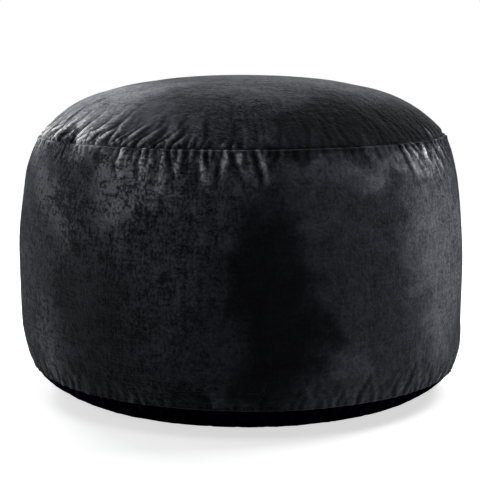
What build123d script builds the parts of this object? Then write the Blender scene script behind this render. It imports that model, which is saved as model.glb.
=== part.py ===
from build123d import *
import os
from math import degrees, sqrt

# Round floor cushion: a zipped velvet cover over a filled inner bag.
#
# The cushion stands on the plane Z = 0 with its axis on Z, its front towards -Y and its zip at the back.
# Every cloth piece is a thin shell of revolution, drawn as a half section in (radius, height) and turned
# about Z. The outline is made of arcs that meet without a corner, except at the two sewn seams. A depth
# below the outline is an inset, so an inset arc keeps its centre and loses that much radius.

# Driving dimensions of the cover, in millimetres.
WIDTH = 600.0
HEIGHT = 422.0
FLAT_RADIUS = 210.0  # the round patch of the base that lies flat on the floor
BASE_SEAM = Vector(283.0, 36.0)  # radius and height of the seam between base panel and side band
TOP_SEAM = Vector(270.4, 344.4)  # radius and height of the seam between side band and top panel
WIDEST_HEIGHT = 145.0
WALL_ARC = 1067.0  # radius of the long, nearly upright arc of the side
WALL_LOW, WALL_HIGH = 87.0, 285.0  # heights where the long arc ends and the rounded corners begin
CROWN_ARC = 790.0  # radius of the flat middle of the top
CROWN_EDGE = 165.0  # radius at which the top starts to roll over to its seam

# Cloth and sewing.
VELVET = 2.0
SEAM_ALLOWANCE = 10.0
SEAM_GAP = 0.1  # between two cloths that are sewn face to face
SIDE_ALLOWANCE = 12.0  # width of each allowance that is pressed flat beside a side seam
SIDE_ALLOWANCE_HEIGHTS = (62.0, 325.0)
THREAD = 0.5
STITCH_DEPTH = 5.0  # how far inside the seam its thread runs

# Inner bag and filling.
LINER_SIDE = 5.0  # how far the bag's wall, top and floor stand inside the cover
LINER_FLAT_RADIUS = 200.0
LINER_BASE_SEAM = Vector(270.0, 44.0)
LINER_TOP_SEAM = Vector(259.0, 336.0)
LINER_WALL_LOW, LINER_WALL_HIGH = 100.0, 275.0
LINER_CROWN_EDGE = 150.0
LINEN = 1.0
FILLING_GAP = 0.1

# Zip. Its section is measured from the base seam: up along the cloth, and out along the cloth's normal.
ZIP_MIDDLE = 90.0  # degrees about Z from +X, so the zip is centred on the back
ZIP_ANGLE = 110.0
ZIP_SLOT = 12.0  # between the two folded edges of the cover
ZIP_SLOT_DEPTH = 16.0
TAPE_EDGE, TAPE_WIDTH = 0.6, 14.0  # from the middle of the zip to each tape's near and far edge
TAPE_TOP, TAPE_THICKNESS = 2.1, 0.7
TEETH = (0.6, 3.1, -2.0, 0.1)  # up from, up to, out from, out to
END_CLEARANCE = 0.4  # between chain, stops and slot ends, along the zip
STOP_LENGTH = 2.4
STOP_SECTION = (0.55, 3.5, -2.0, 0.6)
ZIP_STITCH_ROW = 8.4  # from the middle of the zip to each row of topstitching

# Slider: two plates joined by a wedge that runs between the two rows of teeth.
SLIDER_LENGTH = 11.0
SLIDER_HALF_WIDTH = 4.7
SLIDER_TAIL_HALF_WIDTH = 3.9
OUTER_PLATE = (0.5, 1.8)
INNER_PLATE = (-4.8, -3.5)
LIP_INSIDE, LIP_LOW = 3.6, -1.5
WEDGE_HALF_WIDTH, WEDGE_LENGTH = 0.4, 3.0
SLIDER_REST = 143.0  # degrees about Z
BAIL_LENGTH, BAIL_BAR, BAIL_AXIS = 8.0, 1.2, 5.3  # BAIL_AXIS is the bar's height over the seam
BAIL_ROUND = 0.4

# Pull: a wire ring on the slider's bail, and a tab on the ring. Both hang straight down.
RING_RADIUS, RING_WIRE = 3.5, 1.2
RING_DROP = 1.9  # from the bail's axis to the ring's centre
TAB_HOLE, TAB_THICKNESS = 1.4, 1.2
TAB_NECK, TAB_END, TAB_LENGTH = 2.4, 3.3, 15.0
TAB_DROP = 0.7  # from the ring's lowest wire to the centre of the tab's hole

# Blank care label, sewn in beside the closed end of the zip.
LABEL_WIDTH, LABEL_LENGTH, LABEL_THICKNESS = 25.0, 40.0, 0.4
LABEL_START, LABEL_INSET, LABEL_ANGLE = 3.0, 2.3, 152.0


def tangent_circle(start, normal, end):
    """Centre and radius of the circle that is square to normal at start and passes through end."""
    step = end - start
    radius = -step.dot(step) / (2 * step.dot(normal))
    return start - normal * radius, radius


def at_height(centre, radius, height):
    """The outer point of a circle at a height."""
    return Vector(centre.X + sqrt(radius**2 - (height - centre.Y) ** 2), height)


def at_radius(centre, radius, reach):
    """The upper point of a circle at a distance from the Z axis."""
    return Vector(reach, centre.Y + sqrt(radius**2 - (reach - centre.X) ** 2))


class Seam:
    """A sewn corner of the outline: its point, the way into the cushion, and the way up across it."""

    def __init__(self, point, below, above):
        to_below, to_above = (self.along(point, circle) for circle in (below, above))
        self.point = point
        self.inward = (to_above - to_below).normalized()
        if self.inward.dot(point) > 0:
            self.inward = -self.inward
        self.up = Vector(-self.inward.Y, self.inward.X)
        if self.up.dot(to_above) < 0:
            self.up = -self.up

    @staticmethod
    def along(point, circle):
        """The way up along a circle of the outline at point."""
        spoke = (point - circle[0]).normalized()
        return Vector(-spoke.Y, spoke.X)

    def at(self, up, out):
        """The point that far up across the seam and that far out from it."""
        return self.point + self.up * up - self.inward * out

    def block(self, low, high, inner, outer):
        """A rectangular section beside the seam."""
        corners = [self.at(low, inner), self.at(high, inner), self.at(high, outer), self.at(low, outer)]
        return make_face(Polyline(*corners, close=True))


class Outline:
    """A half section made of a base, a side band and a top, which meet at two seams."""

    def __init__(self, floor, flat, base_seam, top_seam, widest, walls, crown_top, crown_arc, crown_edge):
        self.floor, self.flat = floor, flat
        wall_arc = widest[2]
        wall_centre = Vector(widest[0] - wall_arc, widest[1])
        crown_centre = Vector(0, crown_top - crown_arc)
        joints = [at_height(wall_centre, wall_arc, height) for height in walls]
        crown_joint = at_radius(crown_centre, crown_arc, crown_edge)
        flat_edge = Vector(flat, floor)
        base = tangent_circle(flat_edge, Vector(0, -1), base_seam)
        low = tangent_circle(joints[0], (joints[0] - wall_centre).normalized(), base_seam)
        high = tangent_circle(joints[1], (joints[1] - wall_centre).normalized(), top_seam)
        roll = tangent_circle(crown_joint, (crown_joint - crown_centre).normalized(), top_seam)
        self.base_seam = Seam(base_seam, base, low)
        self.top_seam = Seam(top_seam, high, roll)
        self.circles = {
            "base": [base],
            "band": [low, (wall_centre, wall_arc), high],
            "top": [roll, (crown_centre, crown_arc)],
        }
        self.joints = {"base": [], "band": joints, "top": [crown_joint]}

    @staticmethod
    def crossing(circle, seam, side, inset):
        """Where an inset circle meets the line that runs into the cushion from one side of a seam."""
        centre, radius = circle
        start = seam.point + seam.up * (side * SEAM_GAP / 2)
        spoke = start - centre
        ahead = spoke.dot(seam.inward)
        return start - seam.inward * (
            ahead + sqrt(ahead**2 - spoke.dot(spoke) + (radius - inset) ** 2)
        )

    def ends(self, panel, inset, closed):
        """The two end points of a panel's line, where it meets the seams or the axis."""
        circles = self.circles[panel]
        sides = (0, 0) if closed else (-1, 1)
        if panel == "base":
            return Vector(self.flat, self.floor + inset), self.crossing(
                circles[0], self.base_seam, sides[0], inset
            )
        if panel == "band":
            return self.crossing(circles[0], self.base_seam, sides[1], inset), self.crossing(
                circles[2], self.top_seam, sides[0], inset
            )
        centre, radius = circles[1]
        return self.crossing(circles[0], self.top_seam, sides[1], inset), Vector(
            0, centre.Y + radius - inset
        )

    def stops(self, panel, inset, closed=False):
        """The points of a panel's line, from its lower end to its upper end, as [start, middle, end] arcs."""
        first, last = self.ends(panel, inset, closed)
        circles = self.circles[panel]
        joints = [
            centre + (joint - centre) * ((radius - inset) / radius)
            for joint, (centre, radius) in zip(self.joints[panel], circles)
        ]
        points = [first, *joints, last]
        arcs = []
        for (centre, radius), start, end in zip(circles, points, points[1:]):
            middle = (start - centre).normalized() + (end - centre).normalized()
            arcs.append([start, centre + middle.normalized() * (radius - inset), end])
        return arcs

    def line(self, panel, inset, closed=False):
        """A panel's line at an inset, as edges that run upwards."""
        arcs = self.stops(panel, inset, closed)
        edges = [ThreePointArc(*arc) for arc in arcs]
        if panel == "base":
            edges.insert(0, Line((0, self.floor + inset), arcs[0][0]))
        return edges, edges[0] @ 0, arcs[-1][2]

    def ribbon(self, panel, outer, inner):
        """The section of a panel between two insets."""
        outer_edges, outer_low, outer_high = self.line(panel, outer)
        inner_edges, inner_low, inner_high = self.line(panel, inner)
        closing = [Line(outer_low, inner_low), Line(outer_high, inner_high)]
        return make_face([*outer_edges, *inner_edges, *closing])

    def whole(self, inset):
        """The section of everything inside an inset, with each seam as a plain corner."""
        base, low, base_high = self.line("base", inset, closed=True)
        band = self.stops("band", inset, closed=True)
        top = self.stops("top", inset, closed=True)
        band[0][0], top[0][0] = base_high, band[-1][2]
        edges = [ThreePointArc(*arc) for arc in (*band, *top)]
        return make_face([*base, *edges, Line(top[-1][2], low)])


def turned(section, angle=360.0, start=0.0):
    """A half section turned about Z, from start degrees on."""
    return Rot(0, 0, start) * revolve(Plane.XZ * section, Axis.Z, revolution_arc=angle)


def centred(section, angle, middle):
    """A half section turned about Z by angle, to both sides of a middle direction."""
    return turned(section, angle, middle - angle / 2)


def allowance(seam, side):
    """The strip of cloth that is turned in behind a seam, on one side of it."""
    low, high = sorted((side * SEAM_GAP / 2, side * (SEAM_GAP / 2 + VELVET)))
    return seam.block(low, high, -SEAM_ALLOWANCE, -VELVET / 2)


def between(low, high):
    """A section that covers everything between two heights."""
    return make_face(Polyline((0, low), (WIDTH, low), (WIDTH, high), (0, high), close=True))


def arc_angle(length):
    """The angle about Z of a length along the base seam."""
    return degrees(length / BASE_SEAM.X)


def thread_section(point):
    """The round section of a sewing thread."""
    return Pos(point.X, point.Y) * Circle(THREAD / 2)


def seam_threads(seam):
    """The needle thread and the bobbin thread of a seam, on the two faces of its allowances."""
    beside = SEAM_GAP / 2 + VELVET + THREAD
    return [thread_section(seam.at(side * beside, -STITCH_DEPTH)) for side in (-1, 1)]


cover = Outline(
    floor=0.0,
    flat=FLAT_RADIUS,
    base_seam=BASE_SEAM,
    top_seam=TOP_SEAM,
    widest=(WIDTH / 2, WIDEST_HEIGHT, WALL_ARC),
    walls=(WALL_LOW, WALL_HIGH),
    crown_top=HEIGHT,
    crown_arc=CROWN_ARC,
    crown_edge=CROWN_EDGE,
)
liner = Outline(
    floor=LINER_SIDE,
    flat=LINER_FLAT_RADIUS,
    base_seam=LINER_BASE_SEAM,
    top_seam=LINER_TOP_SEAM,
    widest=(WIDTH / 2 - LINER_SIDE, WIDEST_HEIGHT, WALL_ARC - LINER_SIDE),
    walls=(LINER_WALL_LOW, LINER_WALL_HIGH),
    crown_top=HEIGHT - LINER_SIDE,
    crown_arc=CROWN_ARC - LINER_SIDE,
    crown_edge=LINER_CROWN_EDGE,
)
zip_seam = cover.base_seam


def top_panel():
    return turned(cover.ribbon("top", 0, VELVET) + allowance(cover.top_seam, 1))


def base_panel():
    section = cover.ribbon("base", 0, VELVET) + allowance(cover.base_seam, -1)
    return turned(section) - zip_slot()


def half_band(start):
    """One half of the side band, with the allowances of its two side seams pressed flat inside it."""
    gap = degrees(SEAM_GAP / WIDTH)
    section = (
        cover.ribbon("band", 0, VELVET) + allowance(cover.top_seam, -1) + allowance(cover.base_seam, 1)
    )
    pressed = cover.ribbon("band", VELVET / 2, 2 * VELVET) & between(*SIDE_ALLOWANCE_HEIGHTS)
    width = degrees(2 * SIDE_ALLOWANCE / WIDTH)
    sweep = 180.0 - 2 * gap
    band = turned(section, sweep, start + gap)
    band += turned(pressed, width, start + gap)
    band += turned(pressed, width, start + gap + sweep - width)
    return band


def zip_slot():
    """The slot between the cover's two folded edges, along the zip."""
    half = ZIP_SLOT / 2
    return centred(zip_seam.block(-half, half, -ZIP_SLOT_DEPTH, VELVET), ZIP_ANGLE, ZIP_MIDDLE)


def zip_tape(panel, side):
    low, high = sorted((side * TAPE_EDGE, side * TAPE_WIDTH))
    section = cover.ribbon(panel, TAPE_TOP, TAPE_TOP + TAPE_THICKNESS)
    section &= zip_seam.block(low, high, -ZIP_SLOT_DEPTH, VELVET)
    return centred(section, ZIP_ANGLE - 2 * arc_angle(END_CLEARANCE), ZIP_MIDDLE)


def mirrored_block(section, side):
    """A block of the zip's section, above its middle for side 1 and below it for side -1."""
    near, far, inner, outer = section
    return zip_seam.block(*sorted((side * near, side * far)), inner, outer)


def zip_teeth(side):
    """One row of the closed chain, as a plain bar the size of its coil."""
    ends = 2 * arc_angle(STOP_LENGTH + 2 * END_CLEARANCE)
    return centred(mirrored_block(TEETH, side), ZIP_ANGLE - ends, ZIP_MIDDLE)


def zip_end_stops():
    """A crimped stop on each tape at both ends of the chain."""
    angle = arc_angle(STOP_LENGTH)
    reach = (ZIP_ANGLE - angle) / 2 - arc_angle(END_CLEARANCE)
    return [
        centred(mirrored_block(STOP_SECTION, side), angle, ZIP_MIDDLE + end * reach)
        for end in (-1, 1)
        for side in (-1, 1)
    ]


def zip_stitching():
    """The rows of topstitching that hold the tapes under the cover."""
    rows = []
    for panel, side in (("band", 1), ("base", -1)):
        row = sorted((side * ZIP_STITCH_ROW, side * (ZIP_STITCH_ROW + THREAD)))
        section = cover.ribbon(panel, -THREAD, -SEAM_GAP / 2)
        section &= zip_seam.block(*row, -VELVET, 2 * VELVET)
        rows.append(centred(section, ZIP_ANGLE, ZIP_MIDDLE))
    return rows


def on_zip():
    """The plane of the slider at rest: X along the zip, Y up across it, Z out of the cushion."""
    out = -zip_seam.inward
    plane = Plane(
        origin=(zip_seam.point.X, 0, zip_seam.point.Y), x_dir=(0, 1, 0), z_dir=(out.X, 0, out.Y)
    )
    return plane


def at_rest(shape):
    """A shape of the slider, drawn over +X, turned to where the slider rests."""
    return Rot(0, 0, SLIDER_REST) * shape


def zip_slider():
    """Two plates with turned-in lips, the wedge between them, and the bail that holds the pull."""
    half, inner_half = SLIDER_HALF_WIDTH, LIP_INSIDE
    channel = zip_seam.block(-half, half, *OUTER_PLATE) + zip_seam.block(-half, half, *INNER_PLATE)
    for low, high in ((-half, -inner_half), (inner_half, half)):
        channel += zip_seam.block(low, high, LIP_LOW, OUTER_PLATE[0])
    wedge = zip_seam.block(-WEDGE_HALF_WIDTH, WEDGE_HALF_WIDTH, INNER_PLATE[1], OUTER_PLATE[0])
    long_angle = arc_angle(SLIDER_LENGTH)
    body = centred(channel, long_angle, 0)
    body += turned(wedge, arc_angle(WEDGE_LENGTH), long_angle / 2 - arc_angle(WEDGE_LENGTH))
    half_length, tail = SLIDER_LENGTH / 2, SLIDER_TAIL_HALF_WIDTH
    plan = Polyline(
        (-half_length, -tail), (0, -half), (half_length, -half), (half_length, half), (0, half),
        (-half_length, tail), close=True,
    )
    plan = fillet(make_face(plan).vertices(), tail / 2)
    body &= on_zip() * Pos(0, 0, -2 * half) * extrude(plan, 4 * half)
    return at_rest(body + bail())


def bail():
    """The low bridge along the outer plate that the pull ring hangs from."""
    top = BAIL_AXIS + BAIL_BAR / 2
    bottom = OUTER_PLATE[1] - BAIL_BAR / 2
    bridge = Pos(0, (top + bottom) / 2) * Rectangle(BAIL_LENGTH, top - bottom)
    window = Pos(0, (top + bottom) / 2 - BAIL_BAR) * Rectangle(BAIL_LENGTH - 2 * BAIL_BAR, top - bottom)
    side = bridge - window
    standing = Plane.XZ * side
    arch = extrude(standing, BAIL_BAR / 2, both=True)
    upper = arch.edges().filter_by(Axis.X).group_by(Axis.Z)
    arch = fillet(upper[-1] + upper[-2], BAIL_ROUND)
    return on_zip() * arch


def bail_axis():
    """Where the bail's bar crosses the slider's half section."""
    return zip_seam.at(0, BAIL_AXIS)


def zip_pull_ring():
    centre = bail_axis() - Vector(0, RING_DROP)
    ring = Torus(RING_RADIUS, RING_WIRE / 2)
    return at_rest(Pos(centre.X, 0, centre.Y) * Rot(90, 0, 0) * ring)


def zip_pull_tab():
    wire = bail_axis() - Vector(0, RING_DROP + RING_RADIUS)
    neck = Circle(TAB_NECK)
    end = Pos(-TAB_LENGTH, 0) * Circle(TAB_END)
    plan = make_hull([*neck.edges(), *end.edges()]) - Circle(TAB_HOLE)
    plate = extrude(plan, TAB_THICKNESS / 2, both=True)
    edges = plate.faces().sort_by(Axis.Z)[-1].outer_wire().edges()
    edges += plate.faces().sort_by(Axis.Z)[0].outer_wire().edges()
    plate = chamfer(edges, TAB_THICKNESS / 5)
    return at_rest(Pos(wire.X, 0, wire.Y - TAB_DROP) * Rot(0, -90, 0) * plate)


def care_label():
    section = cover.ribbon("band", LABEL_INSET, LABEL_INSET + LABEL_THICKNESS)
    section &= zip_seam.block(LABEL_START, LABEL_START + LABEL_LENGTH, -4 * SEAM_ALLOWANCE, VELVET)
    return centred(section, arc_angle(LABEL_WIDTH), LABEL_ANGLE)


def side_seam_threads():
    section = cover.ribbon("band", 2 * VELVET + SEAM_GAP / 2, 2 * VELVET + THREAD)
    section &= between(*SIDE_ALLOWANCE_HEIGHTS)
    return [centred(section, degrees(2 * THREAD / WIDTH), side) for side in (0, 180)]


def liner_panel(panel):
    return turned(liner.ribbon(panel, 0, LINEN))


def liner_seam_threads():
    seams = (liner.base_seam, liner.top_seam)
    return [turned(thread_section(seam.at(0, THREAD))) for seam in seams]


rear_opening = 360.0 - ZIP_ANGLE
nodes = {
    "top_panel": [top_panel()],
    "side_band_front": [half_band(180.0)],
    "side_band_rear": [half_band(0.0) - zip_slot()],
    "base_panel": [base_panel()],
    "top_seam_thread": [turned(section) for section in seam_threads(cover.top_seam)],
    "base_seam_thread": [
        centred(section, rear_opening, ZIP_MIDDLE + 180) for section in seam_threads(cover.base_seam)
    ],
    "side_seam_threads": side_seam_threads(),
    "zip_tape_upper": [zip_tape("band", 1)],
    "zip_tape_lower": [zip_tape("base", -1)],
    "zip_teeth_upper": [zip_teeth(1)],
    "zip_teeth_lower": [zip_teeth(-1)],
    "zip_end_stops": zip_end_stops(),
    "zip_stitching": zip_stitching(),
    "zip_slider": [zip_slider()],
    "zip_pull_ring": [zip_pull_ring()],
    "zip_pull_tab": [zip_pull_tab()],
    "care_label": [care_label()],
    "liner_top": [liner_panel("top")],
    "liner_band": [liner_panel("band")],
    "liner_base": [liner_panel("base")],
    "liner_seam_threads": liner_seam_threads(),
    "filling": [turned(liner.whole(LINEN + FILLING_GAP))],
}

os.makedirs("parts", exist_ok=True)
for name, shapes in nodes.items():
    solids = [solid for shape in shapes for solid in shape.solids()]
    export_step(solids[0] if len(solids) == 1 else Compound(children=solids), f"parts/{name}.step")

pivot = bail_axis()
print("bail axis, radius and height", round(pivot.X, 4), round(pivot.Y, 4))
print("ring's lowest wire, height", round(pivot.Y - RING_DROP - RING_RADIUS, 4))
print("slider travel, degrees", round(2 * (SLIDER_REST - ZIP_MIDDLE), 3))
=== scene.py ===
from math import pi, radians

import bpy
import numpy as np
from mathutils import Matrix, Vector
from mathutils.bvhtree import BVHTree


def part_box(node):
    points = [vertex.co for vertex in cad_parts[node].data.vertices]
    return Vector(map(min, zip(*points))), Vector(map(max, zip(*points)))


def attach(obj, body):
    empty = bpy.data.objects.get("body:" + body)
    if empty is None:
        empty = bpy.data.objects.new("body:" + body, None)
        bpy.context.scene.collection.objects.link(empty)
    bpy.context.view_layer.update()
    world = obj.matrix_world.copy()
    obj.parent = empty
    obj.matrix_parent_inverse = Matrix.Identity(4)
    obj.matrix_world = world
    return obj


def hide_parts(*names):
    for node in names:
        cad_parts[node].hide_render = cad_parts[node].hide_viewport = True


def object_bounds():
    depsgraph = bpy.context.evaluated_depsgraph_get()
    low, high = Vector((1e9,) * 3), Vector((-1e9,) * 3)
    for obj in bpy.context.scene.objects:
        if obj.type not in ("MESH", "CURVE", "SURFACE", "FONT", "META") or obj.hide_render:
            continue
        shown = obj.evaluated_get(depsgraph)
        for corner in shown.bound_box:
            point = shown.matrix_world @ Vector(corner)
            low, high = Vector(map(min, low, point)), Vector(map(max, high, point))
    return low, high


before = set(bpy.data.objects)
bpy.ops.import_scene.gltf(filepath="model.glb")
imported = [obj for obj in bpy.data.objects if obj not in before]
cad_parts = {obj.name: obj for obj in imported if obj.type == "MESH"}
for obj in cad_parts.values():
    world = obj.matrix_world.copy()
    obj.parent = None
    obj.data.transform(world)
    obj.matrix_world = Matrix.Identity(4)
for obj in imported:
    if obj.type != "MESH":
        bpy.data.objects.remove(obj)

CAD_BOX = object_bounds()
MM = 0.001

# Meshes: columns go round the cushion, and rows are closer together near a seam.
COVER_COLUMNS, BAG_COLUMNS = 896, 224
COVER_STEPS = ((0, 25, 62, 100), (0.6, 2.4, 2.8, 6.2))  # millimetres from a seam, and between rows there
BAG_STEPS = ((0, 60), (2.5, 9.0))
NEAR_SEAM = 62 * MM  # beyond this a disc's rings have half as many columns
THINNEST_COLUMN, FEWEST_COLUMNS = 1.2 * MM, 14
POLE_RADIUS = 6 * MM
VELVET, LINEN = 1.7 * MM, 0.8 * MM

# Seams.
FOLD_DEPTHS = (1.0 * MM, 4.0 * MM, 8.5 * MM)  # of a turned-in edge, below the seam
ZIP_FOLD_DEPTHS = (0.5 * MM, 1.0 * MM, 1.5 * MM)
SIDE_FOLD = ((-0.4 * MM, 1.2 * MM), (0.8 * MM, 3.2 * MM))  # along the cloth, and inwards
SEAM_GAP = 0.15 * MM
SEAM_DIP = 2.5 * MM
DIP_ON_BAND, DIP_ON_PANEL = 1.0 * MM, 3.4 * MM  # how far the dip reaches
SHOULDER = (0.9 * MM, 3.2 * MM, 2.4 * MM)  # of the band beside a seam: height, where, and reach
THREAD = 0.24 * MM  # radius
STITCH = 3.0 * MM
STITCH_DEPTH = 5.0 * MM
SIDE_STITCH_DEPTH = 2.4 * MM
SIDE_STITCH_END = 10 * MM  # how far a side seam's thread ends from the other seams

# Zip, measured from the middle of its slot: up along the cloth, and out along the cloth's normal.
ZIP_HALF_ANGLE = radians(55)
ZIP_END = radians(0.9)  # over which the slot closes
SLOT_HALF = 5.9 * MM
SLOT_REACH = 34 * MM  # how far from the seam the cloth makes room for the slot
COIL_PITCH = 1.5 * MM
COIL_WIRE = 0.3 * MM
COIL_SPAN = (0.42 * MM, 2.75 * MM)
COIL_DEPTHS = (-1.6 * MM, -0.3 * MM)
TOPSTITCH_ROW = 8.65 * MM
TOPSTITCH, TOPSTITCH_GAP = 2.7 * MM, 0.8 * MM
TOPSTITCH_DEPTH, TOPSTITCH_ARCH = 0.75 * MM, 0.95 * MM

# Inner bag, care label and filling.
WRINKLES, WRINKLE, DEEPEST_WRINKLE = 60, 0.1 * MM, 0.6 * MM
LABEL_WIDTH, LABEL_LENGTH, SATIN = 25 * MM, 40 * MM, 0.3 * MM
LABEL_START, LABEL_DEPTH, LABEL_WAVE = 3 * MM, 2.75 * MM, 0.35 * MM
LUMPS, LUMP_HEIGHT = 40, 0.35 * MM
FOAM_DEPTHS = (1.5 * MM, 3.5 * MM)  # least and most, under the bag
FOAM_ROW_STEP = 2

# Cloth simulation of the cover.
SIM_COLUMNS = 384
SIM_STEPS = ((0, 20, 60, 100), (3.5, 4.5, 5.0, 9.0))
SIM_FRAMES = 18
SIM_PRESSURE = 4.0
SIM_REACH = 36 * MM  # how far from a seam the cloth is loose
SIM_CAP = 9 * MM
PUCKER_SHARE, BLOWN_SHARE = 0.9, 0.8  # of the cover's height, with the simulation
SLOWEST_WAVE = 4  # waves round the cushion; slower ones are left to the outline
BASE_SIMULATED, TOP_LEFT_OUT = 80 * MM, 60 * MM  # from the base seam inwards, and round the top's middle
FIT_LEVELS = 50  # steps in the weights that say how loose the cloth is

# Painted light on the pile: a painted highlight where a place stands out of the cloth round it, and painted
# shade where it sinks into a crease.
SLOWEST_CREASE = 45  # waves round the cushion; slower ones get no painted light
FULL_RELIEF_LIGHT = 1.0 * MM
RELIEF_LIGHT_LIMITS = (-1.2, 1.5)
SEAM_HIGHLIGHT = (1.3 * MM, 1.2 * MM)  # the painted highlight on the band beside a seam, where its rounded edge would catch the light: where, and reach
SEAM_HIGHLIGHT_STRENGTH = (0.5, 1.2)
POINTS_AT_ONCE = 10000

# Each zone of gathers: angles from and to, how many, depth, length, width, lean (angle per metre).
# Depth, length and width are in millimetres.
TOP_GATHERS = (
    (-80, -47, 29, 4.0, 15, 0.9, 1.4),
    (-47, -17, 20, 5.4, 18, 1.0, 1.8),
    (-17, 2, 7, 3.2, 9, 1.0, 0.8),
    (2, 48, 8, 0.4, 8, 1.6, 0.0),
    (48, 84, 13, 0.9, 11, 1.6, -0.8),
    (84, 280, 86, 1.7, 16, 2.0, 0.0),
)
BAND_TOP_GATHERS = (
    (-85, -36, 20, 0.9, 16, 1.7, -0.3),
    (-36, -26, 4, 2.0, 34, 1.4, 0.2),
    (-26, 6, 17, 3.2, 30, 1.4, 0.2),
    (6, 42, 9, 0.9, 16, 2.0, 0.9),
    (42, 72, 10, 2.6, 30, 1.8, 2.0),
    (72, 275, 76, 2.0, 26, 2.7, 0.0),
)
BAND_BASE_GATHERS = (
    (-85, -25, 38, 1.3, 14, 1.5, 0.5),
    (-25, 25, 26, 0.8, 10, 1.5, 0.0),
    (25, 85, 34, 1.2, 13, 1.5, -0.6),
    (85, 275, 104, 1.6, 16, 2.1, 0.0),
)
BASE_GATHERS = ((-180, 180, 165, 1.2, 16, 2.2, 0.0),)

# How much longer than the outline the cloth is beside a seam: angles, and hundredths.
LOOSE_TOP = ((-180, -90, -50, -24, -12, 0, 45, 55, 80, 180), (6, 5, 4, 4, 3, 1, 1, 2, 4, 6))
LOOSE_BAND_TOP = ((-180, -90, -42, -30, 5, 14, 38, 50, 70, 85, 180), (6, 2, 1, 5, 5, 1, 1, 5, 5, 3, 6))
LOOSE_BAND_BASE = ((-180, -90, -60, -30, 0, 90, 180), (4, 3, 4, 3, 1, 3, 4))
LOOSE_BASE = ((-180, 180), (4, 4))

# How far to the right the cushion has sagged: heights and distances in millimetres.
SAG = ((0, 40, 70, 95, 160, 300, 345, 380), (7.0, 5.0, 3.0, 1.0, 0.0, 0.5, 2.0, 3.0))
DOME = (2.4 * MM, 150 * MM, 80 * MM)  # how much fuller its shoulder is, where, and how far that reaches
SWELL_COUNT, SWELL_HEIGHT = 26, 0.55 * MM

# Zones of the pile: centre, reach along x, y and z, and strength in stops. The first table is partly painted
# light and shade (a painted highlight where lamps graze the top's left and its far rim, painted shade down
# the front's middle and over the top's right) and partly the pile's own patchy tone; crushing makes the pile
# more or less mottled.
PAINTED_LIGHT_AND_PILE_TONE = (
    ((-0.26, -0.10, 0.39), (0.22, 0.22, 0.065), 2.9),
    ((-0.19, -0.20, 0.355), (0.09, 0.10, 0.025), 0.8),
    ((0.20, -0.21, 0.37), (0.21, 0.14, 0.05), -2.8),
    ((0.27, -0.06, 0.36), (0.08, 0.15, 0.04), -1.5),
    ((0.02, -0.28, 0.318), (0.06, 0.10, 0.04), 0.5),
    ((0.04, -0.26, 0.350), (0.07, 0.08, 0.016), -1.1),
    ((-0.04, -0.28, 0.316), (0.03, 0.07, 0.018), 0.9),
    ((-0.12, -0.25, 0.30), (0.075, 0.10, 0.06), 2.0),
    ((-0.265, -0.11, 0.33), (0.05, 0.12, 0.035), 1.1),
    ((-0.225, -0.16, 0.362), (0.045, 0.10, 0.016), 0.8),
    ((-0.232, -0.18, 0.275), (0.045, 0.12, 0.05), 1.4),
    ((-0.24, -0.18, 0.105), (0.055, 0.12, 0.05), 1.3),
    ((0.20, -0.22, 0.328), (0.13, 0.14, 0.035), 1.7),
    ((0.212, -0.18, 0.340), (0.045, 0.10, 0.014), 1.5),
    ((0.25, -0.08, 0.357), (0.05, 0.10, 0.016), -1.0),
    ((0.28, -0.18, 0.22), (0.10, 0.16, 0.23), 2.1),
    ((0.285, -0.09, 0.09), (0.03, 0.10, 0.045), -1.0),
    ((0.12, -0.26, 0.085), (0.035, 0.08, 0.035), 0.8),
    ((0.047, -0.30, 0.17), (0.062, 0.08, 0.19), -2.4),
    ((0.00, -0.28, 0.08), (0.12, 0.13, 0.17), -1.1),
    ((-0.18, -0.24, 0.12), (0.10, 0.12, 0.13), -1.3),
    ((-0.14, -0.26, 0.05), (0.13, 0.10, 0.05), -0.9),
    ((-0.07, -0.27, 0.04), (0.065, 0.08, 0.022), -0.8),
    ((-0.26, 0.18, 0.20), (0.12, 0.14, 0.20), 1.0),
    ((-0.08, 0.29, 0.24), (0.09, 0.08, 0.24), -1.2),
    ((0.13, 0.27, 0.17), (0.11, 0.10, 0.16), 1.2),
    ((0.27, 0.14, 0.14), (0.10, 0.12, 0.12), -1.0),
    ((0.04, 0.18, 0.41), (0.30, 0.14, 0.06), 3.4),
)
CRUSHED = (
    ((-0.27, -0.15, 0.20), (0.26, 0.24, 0.34), 1.7),
    ((0.16, -0.27, 0.18), (0.24, 0.18, 0.36), -1.0),
    ((0.0, -0.10, 0.40), (0.20, 0.20, 0.08), 0.5),
    ((-0.20, -0.16, 0.385), (0.22, 0.20, 0.055), -1.8),
    ((0.20, 0.22, 0.25), (0.18, 0.18, 0.20), 0.7),
    ((-0.15, 0.28, 0.15), (0.16, 0.16, 0.20), -0.6),
)
ZONE_RAGGEDNESS = 0.16
RELIEF_LIGHT_STOPS = 1.7  # of brightness, where the painted highlight on a ridge is full
BLUER_IN_SHADE = (1.0, 0.98, 0.92)  # how strongly red, green and blue follow the stops
MIDDLE_GREY = 0.6  # of the mottling's noises, mixed

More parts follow.
